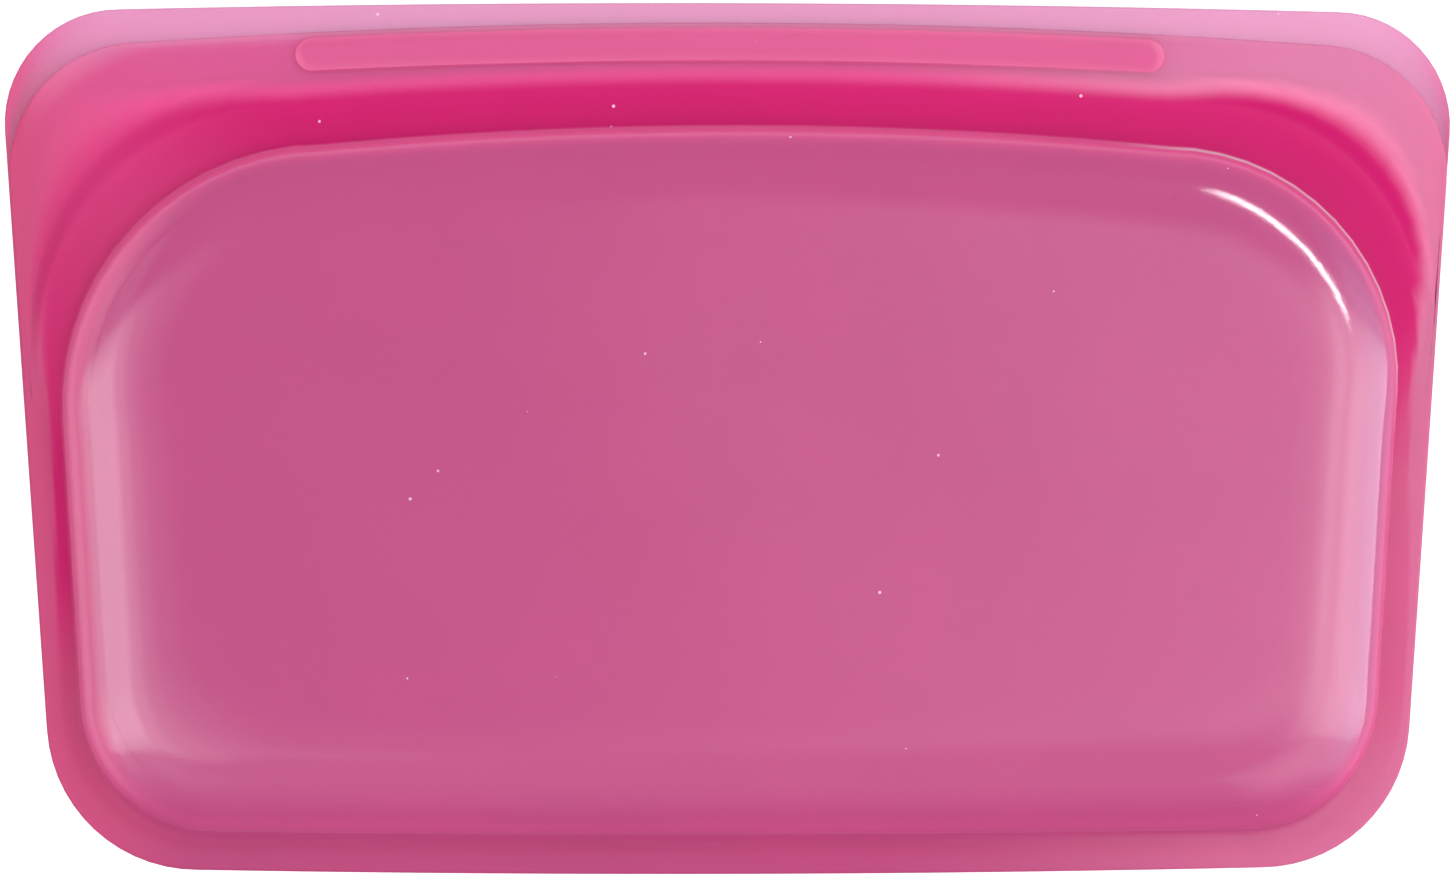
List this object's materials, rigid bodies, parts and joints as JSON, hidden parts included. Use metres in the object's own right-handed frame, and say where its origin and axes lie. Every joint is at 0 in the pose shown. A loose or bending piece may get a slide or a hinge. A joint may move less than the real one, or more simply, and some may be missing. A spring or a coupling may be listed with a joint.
{
  "type": "reusable silicone bag",
  "caption": "Flat reusable silicone food bag with a domed pocket, press-together seal across the mouth, thin pull lips with grip bars and sides bonded shut.",
  "frame": {"origin": "middle of the footprint, on the surface the bag lies on", "axes": "+X along the mouth, to the right seen from the front; +Y towards the mouth; +Z out of the front face"},
  "size_m": [0.1906, 0.1146, 0.02],
  "materials": {
    "pocket_silicone": "glossy translucent silicone, mauve pink over the pocket",
    "rim_silicone": "satin translucent silicone, clear pink where it is one layer",
    "seal_silicone": "satin translucent silicone, deep magenta where it is thick"
  },
  "bodies": {
    "pouch": {"back_half": "pocket_silicone", "front_wall": "pocket_silicone", "seal_tongue": "seal_silicone", "edge_weld": "seal_silicone", "seal_end_stop_left": "seal_silicone", "seal_end_stop_right": "seal_silicone"},
    "front_mouth": {"front_flap": "pocket_silicone", "seal_channel": "seal_silicone"},
    "front_pull_lip": {"front_lip": "rim_silicone", "front_grip_bar": "rim_silicone"},
    "back_pull_lip": {"back_lip": "rim_silicone", "back_grip_bar": "rim_silicone"}
  },
  "joints": [
    {"name": "mouth_fold", "type": "hinge", "parent": "pouch", "child": "front_mouth", "pos_m": [0, 0.012, 0.02], "axis": [1, 0, 0], "range_deg": [0, 35], "stiffness_Nm_per_rad": 0.03, "springref_deg": -5.73},
    {"name": "front_lip_fold", "type": "hinge", "parent": "front_mouth", "child": "front_pull_lip", "pos_m": [0, 0.04665, 0.0116], "axis": [1, 0, 0], "range_deg": [0, 60], "stiffness_Nm_per_rad": 0.02, "springref_deg": -1.72},
    {"name": "back_lip_fold", "type": "hinge", "parent": "pouch", "child": "back_pull_lip", "pos_m": [0, 0.04665, 0.0084], "axis": [-1, 0, 0], "range_deg": [0, 40], "stiffness_Nm_per_rad": 0.02, "springref_deg": -1.72}
  ]
}
